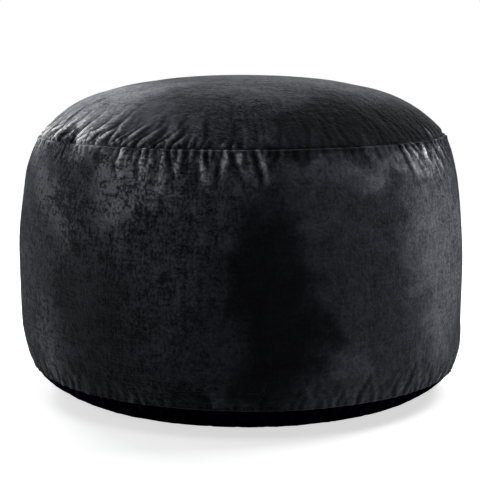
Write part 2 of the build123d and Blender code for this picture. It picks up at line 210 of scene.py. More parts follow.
# Softboxes: name, angle from the front, height angle and watts.
SOFTBOXES = (
    ("right_high_box", 98, 50, 13.0),
    ("front_high_box", 0, 58, 4.5),
    ("left_low_box", -90, 8, 4.0),
    ("left_rear_box", -135, 30, 13.0),
    ("left_rear_low_box", -115, 8, 3.0),
    ("rear_box", 168, 26, 18.0),
)
BOX_DISTANCE, BOX_WIDTH = 1.7, 0.7
MIDDLE = Vector((0, 0, 0.22))
DAYLIGHT, DAYLIGHT_STRENGTH = (0.92, 0.95, 1.0, 1), 0.03
WHITE = (1, 1, 1, 1)
FLOOR_HALF = 6.0
FLOOR_GLOW = {"From Min": 0.6, "From Max": 1.6, "To Min": 0.66, "To Max": 1.0}  # by distance from the middle

# Camera.
LENS, SENSOR, SHIFT = 97.8, 36.0, -0.0019
CAMERA_PLACE = (0.0, -1.765, 0.465)
CAMERA_TILT = 0.1502  # downwards

# CAD nodes that stay in view.
TAPE_NODES = ("zip_tape_upper", "zip_tape_lower")
METAL_NODES = ("zip_slider", "zip_pull_ring", "zip_pull_tab", "zip_end_stops")

TO_AXIS = np.array([-1.0, 0.0])  # as (radius, height)

rng = np.random.default_rng(12)


def smoothstep(low, high, value):
    """0 at low, 1 at high, and a smooth step between them."""
    t = np.clip((value - low) / (high - low), 0, 1)
    return t * t * (3 - 2 * t)


def wrapped(angle):
    """The same angle between -pi and pi."""
    return (angle + pi) % (2 * pi) - pi


def solid_points(section, angle):
    """Points in space from (radius, height) and the angle from the front."""
    radius, height = section[..., 0], section[..., 1]
    return np.stack([radius * np.sin(angle), -radius * np.cos(angle), height + 0 * angle], axis=-1)


def round_way(angle):
    """The direction in which the angle grows."""
    return np.stack([np.cos(angle), np.sin(angle), 0 * angle], axis=-1)


def mesh_points(mesh):
    """A mesh's points, one in each row."""
    flat = np.empty(3 * len(mesh.vertices))
    mesh.vertices.foreach_get("co", flat)
    return flat.reshape(-1, 3)


def unrolled(mesh):
    """A mesh's points as (radius, height), and their angles from the front."""
    x, y, z = mesh_points(mesh).T
    return np.stack([np.hypot(x, y), z], axis=1), np.arctan2(x, -y)


def read_off(values, at, places):
    """Rows of values, given at some distances, read off at other places."""
    return np.stack([np.interp(places, at, column) for column in values.T], axis=-1)


def bell(value, middle, reach):
    """1 in the middle, and less the further away."""
    return np.exp(-(((value - middle) / reach) ** 2))


# ---- outlines

def arc_lengths(points):
    """Each point's distance along a line."""
    return np.concatenate([[0], np.cumsum(np.linalg.norm(np.diff(points, axis=0), axis=1))])


def smoothed(points, step=MM, reach=9):
    """The same line at even steps, with its ends kept and its facets smoothed away."""
    length = arc_lengths(points)
    places = np.linspace(0, length[-1], int(length[-1] / step))
    line = read_off(points, length, places)
    before = 2 * line[0] - line[reach:0:-1]
    after = 2 * line[-1] - line[-2 : -reach - 2 : -1]
    padded = np.vstack([before, line, after])
    weights = np.hanning(2 * reach + 3)[1:-1]
    weights /= weights.sum()
    out = np.stack([np.convolve(padded[:, i], weights, "valid") for i in (0, 1)], axis=1)
    out[0], out[-1] = line[0], line[-1]
    return out


class Outline:
    """The outline of a base, a band and a top, as a function of the distance along it."""

    def __init__(self, base, band, top):
        base_box, band_box, top_box = (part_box(name) for name in (base, band, top))
        self.base_seam = np.array([base_box[1].x, band_box[0].z])
        self.top_seam = np.array([top_box[1].x, band_box[1].z])
        low, high = base_box[0].z, top_box[1].z
        runs = [self.seen_outside(name, (low + high) / 2) for name in (base, band, top)]
        clear = 1.5 * MM
        floor, ceiling = self.base_seam[1], self.top_seam[1]
        limits = ((-np.inf, floor - clear), (floor + clear, ceiling - clear), (ceiling + clear, np.inf))
        runs = [run[(run[:, 1] > least) & (run[:, 1] < most)] for run, (least, most) in zip(runs, limits)]
        lines = [
            smoothed(np.vstack([[0, low], runs[0], self.base_seam])),
            smoothed(np.vstack([self.base_seam, runs[1], self.top_seam])),
            smoothed(np.vstack([self.top_seam, runs[2], [0, high]])),
        ]
        self.points = np.vstack([lines[0], lines[1][1:], lines[2][1:]])
        self.at = arc_lengths(self.points)
        base_seam, top_seam = len(lines[0]) - 1, len(lines[0]) + len(lines[1]) - 2  # rows of points
        self.base_end, self.band_end, self.length = self.at[base_seam], self.at[top_seam], self.at[-1]
        ahead = np.gradient(self.points, axis=0)
        self.tangent = ahead / np.linalg.norm(ahead, axis=1)[:, None]
        self.seam_up = {"base": self.tangent[base_seam], "top": self.tangent[top_seam]}

    @staticmethod
    def seen_outside(name, middle):
        """(radius, height) of a node's outer face, from rays towards the middle, lowest first."""
        azimuth = radians(-83)
        tree = BVHTree.FromObject(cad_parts[name], bpy.context.evaluated_depsgraph_get())
        centre = Vector((0, 0, middle))
        reach = 2 * CAD_BOX[1].x
        run = []
        for tilt in np.linspace(-pi / 2, pi / 2, 1201)[1:-1]:
            flat = np.cos(tilt)
            way = Vector((flat * np.cos(azimuth), flat * np.sin(azimuth), np.sin(tilt)))
            hit = tree.ray_cast(centre + way * reach, -way, reach)[0]
            if hit is not None:
                run.append((np.hypot(hit.x, hit.y), hit.z))
        return np.array(run)

    def place(self, along):
        """(radius, height) at a distance along the outline."""
        return read_off(self.points, self.at, along)

    def ahead(self, along):
        """The way up along the outline, as (radius, height)."""
        way = read_off(self.tangent, self.at, along)
        return way / np.linalg.norm(way, axis=-1)[..., None]

    def out(self, along):
        """The outward normal, as (radius, height)."""
        ahead = self.ahead(along)
        return np.stack([ahead[..., 1], -ahead[..., 0]], axis=-1)


cover_line = Outline("base_panel", "side_band_front", "top_panel")
bag_line = Outline("liner_base", "liner_band", "liner_top")


# ---- shape of the cover

def drawn(zones):
    """The puckers of a seam, each with its own place, size and lean."""
    puckers = []
    for low, high, count, depth, length, width, lean in zones:
        spread = (high - low) / count
        for k in range(count):
            puckers.append((
                radians(low + (k + 0.5 + rng.uniform(-0.38, 0.38)) * spread),
                depth * MM * rng.uniform(0.35, 1.25),
                length * MM * rng.uniform(0.45, 1.35),
                width * MM * rng.uniform(0.7, 1.4),
                lean * rng.uniform(0.3, 1.7) + rng.normal(0, 0.35),
                rng.normal(0, 12),
            ))
    return puckers


def puckered(puckers, away, angle, radius):
    """How far a seam's puckers stand out, at distances away from it. Negative ones are not its own."""
    shape = np.zeros((len(away), len(angle)))
    for middle, deep, reach, wide, slant, bend in puckers:
        rows = np.flatnonzero((away >= 0) & (away < 2.2 * reach))
        columns = np.flatnonzero(np.abs(wrapped(angle - middle)) * radius < 14 * wide + reach)
        if not len(rows):
            continue
        beside = away[rows, None]
        near = beside / reach
        width = wide * (1 + 0.9 * near)
        across = wrapped(angle[columns] - middle - slant * beside - bend * beside**2) * radius / width
        fade = (0.4 + 0.6 * smoothstep(0, 5 * MM, beside)) * np.exp(-(near**1.6))
        crease = np.exp(-np.sqrt(across**2 + 0.06)) * smoothstep(11, 6, np.abs(across))
        shape[np.ix_(rows, columns)] += deep * fade * (0.8 * bell(across, 1.2, 2.4) - 1.1 * crease)
    return shape


TOP_PUCKERS, BAND_TOP_PUCKERS, BAND_BASE_PUCKERS, BASE_PUCKERS = (
    drawn(zones) for zones in (TOP_GATHERS, BAND_TOP_GATHERS, BAND_BASE_GATHERS, BASE_GATHERS)
)
SWELLS = [
    (rng.integers(2, 15), rng.uniform(1.5, 9), rng.uniform(0, 2 * pi), rng.uniform(0, 2 * pi))
    for _ in range(SWELL_COUNT)
]


def zip_share(angle):
    """1 where the zip is, 0 elsewhere."""
    from_back = np.abs(wrapped(angle - pi))
    return 1 - smoothstep(ZIP_HALF_ANGLE, ZIP_HALF_ANGLE + ZIP_END, from_back)


def zip_calm(along, angle):
    """Scales puckers down where the tape holds the cloth flat."""
    from_back = np.abs(wrapped(angle - pi))
    beside = 1 - smoothstep(ZIP_HALF_ANGLE, ZIP_HALF_ANGLE + radians(4), from_back)
    close = 1 - smoothstep(16 * MM, 40 * MM, np.abs(along - cover_line.base_end))
    return 1 - 0.94 * beside * close


def seam_puckers(along, angle):
    """Puckers of all seams, for a row of distances along the outline and a row of angles."""
    below_top = cover_line.band_end - along
    above_base = along - cover_line.base_end
    band = (below_top >= 0) & (above_base >= 0)
    off = -1.0  # on another panel
    top_r, base_r = cover_line.top_seam[0], cover_line.base_seam[0]
    shape = puckered(TOP_PUCKERS, np.where(below_top < 0, -below_top, off), angle, top_r)
    shape += puckered(BAND_TOP_PUCKERS, np.where(band, below_top, off), angle, top_r)
    shape += puckered(BAND_BASE_PUCKERS, np.where(band, above_base, off), angle, base_r)
    shape += puckered(BASE_PUCKERS, np.where(above_base < 0, -above_base, off), angle, base_r)
    return shape


def swell(along, angle):
    """Slow unevenness of the filling, and the fuller shoulder of the dome."""
    up = along[:, None] / cover_line.length
    total = np.zeros((len(along), len(angle)))
    for turns, waves, start, shift in SWELLS:
        size = SWELL_HEIGHT / (1 + 0.16 * turns)
        total += size * np.cos(turns * angle + start) * np.cos(2 * pi * waves * up + shift)
    radius = cover_line.place(along)[:, :1]
    total *= smoothstep(0.28, 0.36, up) * smoothstep(0.01, 0.16, radius)
    fuller, where, reach = DOME
    on_top = along[:, None] > cover_line.band_end
    return total + fuller * bell(radius, where, reach) * on_top


def sag(outline, along, angle):
    """How far the cushion's own lean to its right moves a place outwards. The back stays upright."""
    place, out = outline.place(along), outline.out(along)
    right = np.interp(place[:, 1], np.array(SAG[0]) * MM, np.array(SAG[1]) * MM)
    front = 1 - smoothstep(radians(92), radians(120), np.abs(angle))
    return (right * out[:, 0])[:, None] * np.sin(angle) * front


def seam_shape(along):
    """The rounded shoulder of the band beside a seam, and the dip of the panel that is tucked behind it."""
    shape = np.zeros(len(along))
    stands, where, reach = SHOULDER
    for seam, side in ((cover_line.base_end, 1), (cover_line.band_end, -1)):
        beside = (along - seam) * side
        shoulder = stands * bell(beside, where, reach)
        on_band = shoulder - (SEAM_DIP + SEAM_GAP) * np.exp(-np.maximum(beside, 0) / DIP_ON_BAND)
        tucked = -SEAM_DIP * np.exp(-((np.maximum(-beside, 0) / DIP_ON_PANEL) ** 1.3))
        shape += np.where(beside >= 0, on_band, tucked)
    return shape


def loose(along, angle):
    """How much longer than the outline the cloth is, as a share."""
    degrees = np.degrees(angle)
    above_base, above_top = along - cover_line.base_end, along - cover_line.band_end
    total = np.zeros((len(along), len(angle)))
    for table, beside, own in (
        (LOOSE_TOP, above_top, above_top > 0),
        (LOOSE_BAND_TOP, above_top, (above_top <= 0) & (above_base > 0)),
        (LOOSE_BAND_BASE, above_base, (above_top <= 0) & (above_base > 0)),
        (LOOSE_BASE, above_base, above_base <= 0),
    ):
        fade = bell(beside, 0, SIM_REACH) * own
        total += fade[:, None] * np.interp(degrees, *table) / 100
    return total * zip_calm(along[:, None], angle)


# ---- simulation

def rows_between(start, end, steps, seam_at_start, seam_at_end):
    """Distances from start to end. steps gives the gap between them by the distance from a seam."""
    places = [start]
    while places[-1] < end:
        from_seams = []
        if seam_at_start:
            from_seams.append(places[-1] - start)
        if seam_at_end:
            from_seams.append(end - places[-1])
        places.append(places[-1] + MM * np.interp(min(from_seams) / MM, *steps))
    places = np.array(places)
    return start + (places - start) * (end - start) / (places[-1] - start)


def local_axes(along, angle):
    """Unit vectors outwards, along the outline and round the cushion."""
    out, ahead = cover_line.out(along)[:, None], cover_line.ahead(along)[:, None]
    row = 0 * along[:, None]
    return solid_points(out, angle), solid_points(ahead, angle), round_way(angle) + row[..., None]


def blown_cloth():
    """Loose cloth, pinned along its seams and blown against them, as a mesh of rows and columns."""
    along = np.concatenate([
        rows_between(cover_line.base_end - BASE_SIMULATED, cover_line.base_end, SIM_STEPS, False, True)[:-1],
        rows_between(cover_line.base_end, cover_line.band_end, SIM_STEPS, True, True)[:-1],
        rows_between(cover_line.band_end, cover_line.length - TOP_LEFT_OUT, SIM_STEPS, True, False),
    ])
    angle = np.arange(SIM_COLUMNS) * 2 * pi / SIM_COLUMNS - pi
    plain = solid_points(cover_line.place(along)[:, None], angle)
    outward = local_axes(along, angle)[0]
    start = plain + outward * (seam_puckers(along, angle) * zip_calm(along[:, None], angle))[..., None]
    piece = mesh_object("blown", start, grid_faces(*start.shape[:2], wrap_columns=True))
    beside = np.minimum(np.abs(along - cover_line.base_end), np.abs(along - cover_line.band_end))
    pinned = np.repeat((beside < 0.1 * MM)[:, None], SIM_COLUMNS, axis=1)
    pinned[0], pinned[-1] = True, True
    pinned |= zip_calm(along[:, None], angle) < 0.2
    slack = loose(along, angle)
    pins = piece.vertex_groups.new(name="pins")
    pins.add(np.flatnonzero(pinned).tolist(), 1.0, "REPLACE")
    fitted = piece.vertex_groups.new(name="fitted")
    levels = np.round((1 - slack / slack.max()) * FIT_LEVELS).astype(int).ravel()
    for level in np.unique(levels):
        fitted.add(np.flatnonzero(levels == level).tolist(), level / FIT_LEVELS, "REPLACE")
    return piece, along, angle, plain, slack.max()


def run_cloth(piece, most_slack):
    """Blows the cloth and returns its points. The group "fitted" weighs least where it is loosest."""
    settings = piece.modifiers.new("cloth", "CLOTH").settings
    settings.quality = 4
    settings.mass = 0.3
    settings.tension_stiffness = settings.compression_stiffness = 10
    settings.shear_stiffness = 3
    settings.bending_stiffness = 0.05
    settings.tension_damping = settings.compression_damping = settings.shear_damping = 1
    settings.bending_damping = 0.1
    settings.use_pressure = True
    settings.uniform_pressure_force = SIM_PRESSURE
    settings.effector_weights.gravity = 0
    settings.vertex_group_mass = "pins"
    settings.vertex_group_shrink = "fitted"
    settings.shrink_min = -most_slack
    settings.shrink_max = 0
    scene = bpy.context.scene
    for step in range(1, SIM_FRAMES + 1):
        scene.frame_set(step)
    done = piece.evaluated_get(bpy.context.evaluated_depsgraph_get())
    points = mesh_points(done.data)
    bpy.data.objects.remove(piece)
    scene.frame_set(1)
    return points


def blown():
    """How far the blown cloth moved: (distances along, movement by row, column and local axis)."""
    piece, along, angle, plain, most_slack = blown_cloth()
    moved = run_cloth(piece, most_slack).reshape(plain.shape) - plain
    local = np.stack([(moved * axis).sum(axis=-1) for axis in local_axes(along, angle)], axis=-1)
    waves = np.fft.rfft(local, axis=1)
    waves[:, :SLOWEST_WAVE] = 0
    local = np.fft.irfft(waves, COVER_COLUMNS, axis=1) * COVER_COLUMNS / SIM_COLUMNS
    size = np.linalg.norm(local, axis=-1, keepdims=True)
    return along, local * np.minimum(1, SIM_CAP / np.maximum(size, MM / 100))


def between_rows(rows, values, wanted):
    """Values at wanted distances, from values at rows of distances. It is 0 outside them."""
    place = np.clip(np.searchsorted(rows, wanted), 1, len(rows) - 1)
    share = np.clip((wanted - rows[place - 1]) / (rows[place] - rows[place - 1]), 0, 1)[:, None, None]
    inside = ((wanted >= rows[0]) & (wanted <= rows[-1]))[:, None, None]
    return (values[place - 1] * (1 - share) + values[place] * share) * inside


# ---- meshes

def grid_faces(rows, columns, wrap_rows=False, wrap_columns=False):
    """Four-sided faces between the points of a grid."""
    i = np.arange(rows if wrap_rows else rows - 1)[:, None]
    j = np.arange(columns if wrap_columns else columns - 1)[None, :]
    i2, j2 = (i + 1) % rows, (j + 1) % columns
    corners = [i * columns + j, i * columns + j2, i2 * columns + j2, i2 * columns + j]
    return np.stack([c.ravel() for c in np.broadcast_arrays(*corners)], axis=1).tolist()


def bridge(low, high, low_count, high_count):
    """Faces between two closed rings, where one may have twice as many points as the other."""
    if low_count == high_count:
        a = np.arange(low_count)
        b = (a + 1) % low_count
        return np.stack([low + a, low + b, high + b, high + a], axis=1).tolist()
    fine, coarse, flip = (low, high, False) if low_count > high_count else (high, low, True)
    j = np.arange(min(low_count, high_count))
    k = (j + 1) % len(j)
    f0, f1, f2 = fine + 2 * j, fine + 2 * j + 1, fine + (2 * j + 2) % (2 * len(j))
    c0, c1 = coarse + j, coarse + k
    faces = np.vstack([np.stack(t, axis=1) for t in ((f0, f1, c0), (f1, c1, c0), (f1, f2, c1))])
    return (faces[:, ::-1] if flip else faces).tolist()


def added(name, data):
    """A new object in the scene."""
    made = bpy.data.objects.new(name, data)
    bpy.context.scene.collection.objects.link(made)
    return made


def mesh_object(name, points, faces):
    """A new mesh object in the scene."""
    mesh = bpy.data.meshes.new(name)
    mesh.from_pydata(np.reshape(points, (-1, 3)).tolist(), [], faces)
    return added(name, mesh)


def new_piece(name, points, faces):
    """A smooth mesh piece that rides on the cushion."""
    piece = mesh_object(name, points, faces)
    piece.data.shade_smooth()
    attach(piece, "cushion")
    return piece


def ring_piece(name, rings, closed_start=False, closed_end=False):
    """A piece made of closed rings, with its first or last ring closed by a fan."""
    points = np.vstack(rings)
    starts = np.concatenate([[0], np.cumsum([len(ring) for ring in rings])])
    faces = []
    for k in range(len(rings) - 1):
        faces += bridge(starts[k], starts[k + 1], len(rings[k]), len(rings[k + 1]))
    for closed, k, turn in ((closed_start, 0, 1), (closed_end, len(rings) - 1, -1)):
        if closed:
            count = len(rings[k])
            centre = len(points)
            points = np.vstack([points, rings[k].mean(axis=0)])
            ring = starts[k] + np.arange(count)
            fan = np.stack([np.full(count, centre), np.roll(ring, -1), ring], axis=1)
            faces += fan[:, ::turn].tolist()
    return new_piece(name, points, faces)


def thicken(piece, thickness, offset=-1.0):
    """Gives a sheet its thickness: inwards, or to both sides with an offset of 0."""
    solid = piece.modifiers.new("thickness", "SOLIDIFY")
    solid.thickness = thickness
    solid.offset = offset


def tube(path, radius, facing, sides=5, closed=False):
    """Points and faces of a tube round a path. facing is a direction that the path never takes."""
    if closed:
        ahead = np.roll(path, -1, axis=0) - np.roll(path, 1, axis=0)
    else:
        ahead = np.gradient(path, axis=0)
    ahead /= np.linalg.norm(ahead, axis=1)[:, None]
    across = np.cross(facing, ahead)
    across /= np.linalg.norm(across, axis=1)[:, None]
    third = np.cross(ahead, across)
    turn = (np.arange(sides) * 2 * pi / sides)[:, None]
    spokes = np.cos(turn) * across[:, None] + np.sin(turn) * third[:, None]
    points = path[:, None] + np.reshape(radius, (-1, 1, 1)) * spokes
    faces = grid_faces(len(path), sides, wrap_rows=closed, wrap_columns=True)
    if not closed:
        faces += [list(range(sides))[::-1], list(range((len(path) - 1) * sides, len(path) * sides))]
    return points.reshape(-1, 3), faces


def joined(tubes):
    """Several tubes' points and faces as one."""
    points, faces, first = [], [], 0
    for tube_points, tube_faces in tubes:
        points.append(tube_points)
        faces += [[first + corner for corner in face] for face in tube_faces]
        first += len(tube_points)
    return np.vstack(points), faces


# ---- cloth panels

class Cloth:
    """A cover as rows of points, from the middle of its base to the middle of its top."""

    def __init__(self, outline, columns, steps, zipped=False):
        self.outline, self.zipped, self.columns = outline, zipped, columns
        parts = [
            rows_between(POLE_RADIUS, outline.base_end, steps, False, True),
            rows_between(outline.base_end, outline.band_end, steps, True, True),
            rows_between(outline.band_end, outline.length - POLE_RADIUS, steps, True, False),
        ]
        self.rows, first = {}, 0
        for panel, part in zip(("base", "band", "top"), parts):
            self.rows[panel] = (first, first + len(part))
            first += len(part)
        self.along = np.concatenate(parts)
        self.angle = np.arange(columns) * 2 * pi / columns - pi
        self.above_zip = np.concatenate([np.full(len(part), s) for part, s in zip(parts, (-1.0, 1.0, 1.0))])

    def lay(self, height, moved=None):
        """Places the points at a height over the outline. moved shifts them along it and round it."""
        along = np.repeat(self.along[:, None], self.columns, axis=1)
        if self.zipped:
            draw = np.clip(1 - np.abs(along - self.outline.base_end) / SLOT_REACH, 0, 1)
            along += self.above_zip[:, None] * SLOT_HALF * zip_share(self.angle) * draw
        section = self.outline.place(along) + self.outline.out(along) * height[..., None]
        self.points = solid_points(section, self.angle)
        if moved is not None:
            _, ahead, across = local_axes(self.along, self.angle)
            self.points = self.points + ahead * moved[..., 1:2] + across * moved[..., 2:3]
        self.points[..., 2] = np.maximum(self.points[..., 2], 0)

    def painted_relief_light(self, piece, panel, relief):
        """Notes on each point of a piece its painted light: a painted highlight where it stands out of the
        cloth round it, painted shade in a crease, and a painted highlight on the band beside a seam.
        """
        waves = np.fft.rfft(relief, axis=1)
        waves[:, :SLOWEST_CREASE] = 0
        wear_and_painted_light = np.clip(np.fft.irfft(waves, self.columns, axis=1) / FULL_RELIEF_LIGHT, *RELIEF_LIGHT_LIMITS)
        # A painted highlight along the band's edge beside each seam.
        where, reach = SEAM_HIGHLIGHT
        for seam, side in ((self.outline.base_end, 1), (self.outline.band_end, -1)):
            beside = ((self.along - seam) * side)[:, None]
            line = bell(beside, where, reach) * (beside >= 0)
            strength = rng.uniform(*SEAM_HIGHLIGHT_STRENGTH, self.columns)
            wear_and_painted_light = wear_and_painted_light + line * (self.above_zip[:, None] > 0) * strength
        first, last = self.rows[panel]
        places = self.outline.place(self.along[first:last])
        section, turn = unrolled(piece.data)
        column = np.round((turn + pi) / (2 * pi) * self.columns).astype(int)
        values = np.empty(len(section))
        for start in range(0, len(section), POINTS_AT_ONCE):
            some = slice(start, start + POINTS_AT_ONCE)
            away = ((section[some, None] - places) ** 2).sum(axis=2)
            values[some] = wear_and_painted_light[first + away.argmin(axis=1), column[some] % self.columns]
        noted = piece.data.attributes.new("painted_relief_light", "FLOAT", "POINT")
        noted.data.foreach_set("value", values.astype(np.float32))

    def ring(self, row):
        """One row as a closed ring, with fewer points where they would be too close."""
        count = self.columns
        along = self.along[row]
        if min(abs(along - self.outline.base_end), abs(along - self.outline.band_end)) > NEAR_SEAM:
            count //= 2
        radius = self.outline.place(along)[0]
        while radius * 2 * pi / count < THINNEST_COLUMN and count > FEWEST_COLUMNS:
            count //= 2
        return self.points[row, :: self.columns // count]

    def seam_frame(self, seam, angle):
        """The ways up across a seam and into the cushion, in space."""
        up = self.outline.seam_up[seam]
        inward = np.array([-up[1], up[0]])
        row = 0 * angle[..., None]
        return solid_points(up + row, angle), solid_points(inward + row, angle)

    def folds(self, ring, seam, angle, side):
        """The rings of a panel's turned-in edge. side is 1 above the seam and -1 below it."""
        up, inward = self.seam_frame(seam, angle)
        share = zip_share(angle)[..., None] if self.zipped and seam == "base" else 0
        depths = [a * (1 - share) + b * share for a, b in zip(FOLD_DEPTHS, ZIP_FOLD_DEPTHS)]
        return [ring + up * side * SEAM_GAP + inward * depth for depth in depths]

    def disc(self, name, panel):
        """The round top or base: rings from the middle to the seam, and the turned-in edge."""
        rings = [self.ring(row) for row in range(*self.rows[panel])]
        if panel == "base":
            rings += self.folds(rings[-1], "base", self.angle, -1)
            return ring_piece(name, rings, closed_start=True)
        rings = self.folds(rings[0], "top", self.angle, 1)[::-1] + rings
        return ring_piece(name, rings, closed_end=True)

    def band_grid(self, columns):
        """Some columns of the band, with its upper and lower edges turned in."""
        first, last = self.rows["band"]
        grid = self.points[first:last][:, columns]
        angle = self.angle[columns]
        low = self.folds(grid[0], "base", angle, 1)[::-1]
        high = self.folds(grid[-1], "top", angle, -1)
        return np.concatenate([low, grid, high])

    def half_band(self, name, front):
        """Half of the side band, with its four edges turned in."""
        quarter = self.columns // 4
        columns = np.arange(quarter, 3 * quarter + 1) if front else np.arange(-quarter, quarter + 1)
        grid = self.band_grid(columns)
        sides = []
        for edge, way in ((0, 1.0), (-1, -1.0)):
            turn = self.angle[columns[edge]]
            inward = solid_points(TO_AXIS, turn)
            back = round_way(turn) * way
            grid[:, edge] += back * SEAM_GAP
            sides.append([grid[:, edge] + back * shift + inward * deep for shift, deep in SIDE_FOLD])
        left, right = np.stack(sides[0][::-1], axis=1), np.stack(sides[1], axis=1)
        grid = np.concatenate([left, grid, right], axis=1)
        return new_piece(name, grid, grid_faces(*grid.shape[:2]))

    def whole_band(self, name):
        """A band without side seams."""
        grid = self.band_grid(np.arange(self.columns))
        return new_piece(name, grid, grid_faces(*grid.shape[:2], wrap_columns=True))

    def edge(self, seam, angle):
        """Points on a seam, at the foot of its dip."""
        row = self.rows["band"][0] if seam == "base" else self.rows["band"][1] - 1
        column = (angle + pi) / (2 * pi) * self.columns
        low = np.floor(column).astype(int)
        share = (column - low)[:, None]
        ring = self.points[row]
        return ring[low % self.columns] * (1 - share) + ring[(low + 1) % self.columns] * share

    def stretch(self, panel):
        """The length of a panel along the outline."""
        first, last = self.rows[panel]
        return self.along[last - 1] - self.along[first]


def cover_cloth():
    """The velvet cover: the outline, its seams, its puckers, and what the blown cloth adds."""
    made = Cloth(cover_line, COVER_COLUMNS, COVER_STEPS, zipped=True)
    along, angle = made.along, made.angle
    calm = zip_calm(along[:, None], angle)
    puckers = seam_puckers(along, angle) + swell(along, angle)
    moved = None
    rows, movement = blown()
    moved = between_rows(rows, movement, along) * calm[..., None]
    height = PUCKER_SHARE * puckers * calm + BLOWN_SHARE * moved[..., 0]
    made.relief = height
    lies_flat = cover_line.place(along)[:, 1:] < 2 * MM
    height = np.where(lies_flat, 0, height)
    height = height + sag(cover_line, along, angle)
    seams = seam_shape(along)[:, None]
    open_zip = zip_share(angle) * (np.abs(along - cover_line.base_end) < SLOT_REACH)[:, None]
    made.lay(height + seams * (1 - open_zip), moved)
    return made


def bag_cloth():
    """The inner bag: plain linen, pulled into small wrinkles by the filling."""
    made = Cloth(bag_line, BAG_COLUMNS, BAG_STEPS)
    along, angle = made.along, made.angle
    height = np.zeros((len(along), len(angle)))
    for _ in range(WRINKLES):
        turns, waves = rng.integers(3, 40), rng.uniform(0.3, 3)
        starts = rng.uniform(0, 2 * pi, 2)
        bent = 4 * np.cos(waves * 12 * along[:, None] + starts[1])
        height += WRINKLE * np.cos(turns * angle + starts[0] + bent)
    height = np.clip(height, -DEEPEST_WRINKLE, DEEPEST_WRINKLE) + sag(bag_line, along, angle)
    made.lay(height)
    return made


# ---- sewing

def lockstitch(start, up, inward, depth, face, ends=False):
    """A needle thread and a bobbin thread through two allowances, as tubes.

    start holds the points on the seam where a stitch begins, ends or has its middle, in turn: even
    points are the needle's holes. face is how far each thread lies from the seam's middle. A seam that
    does not go all round has ends.
    """
    run = start + inward * depth
    lift = np.where(np.arange(len(run)) % 2 == 0, 0.25, 1.0)[:, None]
    tubes = []
    for side in (1, -1):
        path = run + up * side * lift * face
        tubes.append(tube(path, THREAD, inward, closed=not ends))
    return tubes


def seam_holes(radius, from_angle, to_angle):
    """Angles of the needle's holes and of the middles of the stitches."""
    count = int((to_angle - from_angle) * radius / STITCH)
    return from_angle + np.arange(2 * count) * (to_angle - from_angle) / (2 * count)


def round_seam(cloth, seam, thickness, from_angle=-pi, to_angle=pi):
    """Threads of the top or base seam, all round or between two angles."""
    radius = cloth.outline.base_seam[0] if seam == "base" else cloth.outline.top_seam[0]
    angle = seam_holes(radius, from_angle, to_angle)
    up, inward = cloth.seam_frame(seam, angle)
    part = to_angle - from_angle < 2 * pi - 0.01
    face = thickness + SEAM_GAP + THREAD
    return lockstitch(cloth.edge(seam, angle), up, inward, STITCH_DEPTH, face, ends=part)


def side_seams(cloth):
    """Threads of the two upright seams between the halves of the band."""
    tubes = []
    first, last = cloth.rows["band"]
    quarter = cloth.columns // 4
    for column in (quarter, 3 * quarter):
        turn = cloth.angle[column]
        line = cloth.points[first + 4 : last - 4, column]
        length = arc_lengths(line)
        places = np.arange(SIDE_STITCH_END, length[-1] - SIDE_STITCH_END, STITCH / 2)
        line = read_off(line, length, places)
        inward = np.tile(solid_points(TO_AXIS, turn), (len(line), 1))
        across = np.tile(round_way(turn), (len(line), 1))
        tubes += lockstitch(line, across, inward, SIDE_STITCH_DEPTH, VELVET + THREAD, ends=True)
    return tubes


# ---- zip

def zip_frame():
    """The middle of the zip and the way up across it, as (radius, height)."""
    section, _ = unrolled(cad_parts["zip_tape_upper"].data)
    up = np.linalg.svd(section - section.mean(axis=0), full_matrices=False)[2][0]
    return cover_line.base_seam, up * np.sign(up[1])


ZIP_MIDDLE, ZIP_UP = zip_frame()
ZIP_OUT = np.array([ZIP_UP[1], -ZIP_UP[0]])


def at_zip(up, out, angle):
    """Points in space from heights over the zip's middle and angles from the back."""
    section = ZIP_MIDDLE + np.multiply.outer(up, ZIP_UP) + np.multiply.outer(out, ZIP_OUT)
    return solid_points(section, angle + pi)


def coil(side):
    """One nylon coil: a flattened helix whose heads meet the other coil's in the middle of the zip."""
    _, angle = unrolled(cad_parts["zip_teeth_upper"].data)
    radius, half_pitch = ZIP_MIDDLE[0], 0.5 * COIL_PITCH / ZIP_MIDDLE[0]
    reach = np.abs(wrapped(angle - pi)).max() - COIL_WIRE / radius
    turns = int(2 * reach * radius / COIL_PITCH)
    phase = np.linspace(0, turns, turns * 10 + 1)
    swing = 2 * pi * phase
    half_up, half_out = (COIL_SPAN[1] - COIL_SPAN[0]) / 2, (COIL_DEPTHS[1] - COIL_DEPTHS[0]) / 2
    up = side * (COIL_SPAN[0] + half_up * (1 - np.cos(swing)))
    out = COIL_DEPTHS[0] + half_out * (1 + np.sin(swing))
    shift = half_pitch if side < 0 else 0
    angle = -reach + phase / turns * (2 * reach - half_pitch) + shift
    head = np.cos(swing) > 0.75
    wire = COIL_WIRE * np.where(head, 1.12, 1.0)
    return tube(at_zip(up, out, angle), wire, round_way(angle + pi))


def topstitches():
    """Short runs of thread that dip into the velvet at both ends, in a row beside the slot."""
    pitch = (TOPSTITCH + TOPSTITCH_GAP) / cover_line.base_seam[0]
    count = int(2 * (ZIP_HALF_ANGLE - radians(0.6)) / pitch)
    tubes = []
    share = np.linspace(0, 1, 7)
    height = TOPSTITCH_ARCH * np.sin(pi * share) ** 0.7 - TOPSTITCH_DEPTH
    for side in (1, -1):
        along = np.full(len(share), cover_line.base_end + side * TOPSTITCH_ROW)
        section, out = cover_line.place(along), cover_line.out(along)
        for k in range(count):
            first = (k - count / 2) * pitch
            angle = first + share * TOPSTITCH / cover_line.base_seam[0] + pi
            path = solid_points(section + out * height[:, None], angle)
            outward = solid_points(out, angle)
            tubes.append(tube(path, THREAD, outward))
    return tubes


